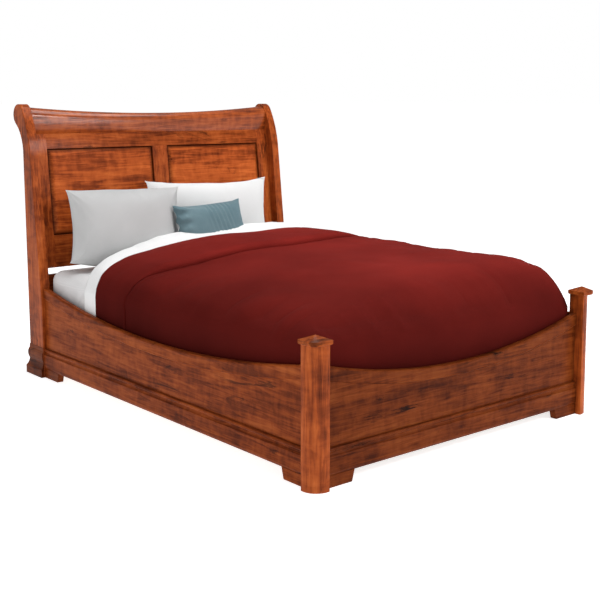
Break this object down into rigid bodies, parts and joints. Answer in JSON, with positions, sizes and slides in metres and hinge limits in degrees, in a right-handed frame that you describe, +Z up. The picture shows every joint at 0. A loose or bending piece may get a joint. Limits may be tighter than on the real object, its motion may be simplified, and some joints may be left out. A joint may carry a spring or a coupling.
{
  "type": "sleigh bed",
  "caption": "Wooden sleigh bed with a scrolled panelled headboard, low curved footboard and side rails, and a made-up mattress with comforter and pillows.",
  "frame": {"origin": "on the floor, in the middle of the bed's footprint", "axes": "+Z up, +Y from the footboard to the headboard, +X to the right when looking from the foot"},
  "size_m": [1.696, 2.4809, 1.418],
  "materials": {
    "stained_wood_across": "reddish-brown stain, satin varnish, grain across the bed",
    "stained_wood_along": "reddish-brown stain, satin varnish, grain along the bed",
    "stained_wood_upright": "reddish-brown stain, satin varnish, upright grain",
    "panel_wood": "reddish-brown stain, satin varnish, grain across the bed",
    "plain_wood": "unfinished softwood",
    "zinc_steel": "zinc plated",
    "pad_plastic": "matt",
    "foundation_fabric": "woven, matt",
    "fitted_sheet_cotton": "woven cotton, matt",
    "comforter_fabric": "brushed cotton, matt",
    "sheet_cotton": "woven cotton, matt",
    "pillow_cotton": "woven cotton, matt",
    "accent_fabric": "pleated satin, soft sheen"
  },
  "bodies": {
    "root": {"accent_pillow": "accent_fabric", "centre_beam": "plain_wood", "centre_legs": "plain_wood", "comforter": "comforter_fabric", "crest_rail": "stained_wood_across", "foot_post_left": "stained_wood_upright", "foot_post_right": "stained_wood_upright", "foot_side_bracket_left": "stained_wood_along", "foot_side_bracket_right": "stained_wood_along", "footboard_base_band": "stained_wood_across", "footboard_bracket_left": "stained_wood_across", "footboard_bracket_right": "stained_wood_across", "footboard_panel": "stained_wood_across", "footboard_top_band": "stained_wood_across", "foundation": "foundation_fabric", "head_plinth_left": "stained_wood_upright", "head_plinth_right": "stained_wood_upright", "head_post_left": "stained_wood_upright", "head_post_right": "stained_wood_upright", "head_side_bracket_left": "stained_wood_along", "head_side_bracket_right": "stained_wood_along", "headboard_bottom_rail": "stained_wood_across", "headboard_centre_stile": "stained_wood_upright", "headboard_lower_rail": "stained_wood_across", "headboard_panel_left": "panel_wood", "headboard_panel_right": "panel_wood", "headboard_stile_left": "stained_wood_upright", "headboard_stile_right": "stained_wood_upright", "headboard_upper_rail": "stained_wood_across", "hook_plate_screws": "zinc_steel", "ledger_screws": "zinc_steel", "leg_pads": "pad_plastic", "mattress": "fitted_sheet_cotton", "pillow_left": "pillow_cotton", "pillow_right": "pillow_cotton", "post_cap_left": "stained_wood_across", "post_cap_right": "stained_wood_across", "post_slot_plates": "zinc_steel", "rail_hook_plates": "zinc_steel", "rail_ledger_left": "plain_wood", "rail_ledger_right": "plain_wood", "side_rail_base_band_left": "stained_wood_along", "side_rail_base_band_right": "stained_wood_along", "side_rail_left": "stained_wood_along", "side_rail_right": "stained_wood_along", "side_rail_top_band_left": "stained_wood_along", "side_rail_top_band_right": "stained_wood_along", "slat_screws": "zinc_steel", "slats": "plain_wood", "top_sheet": "sheet_cotton"}
  },
  "joints": []
}
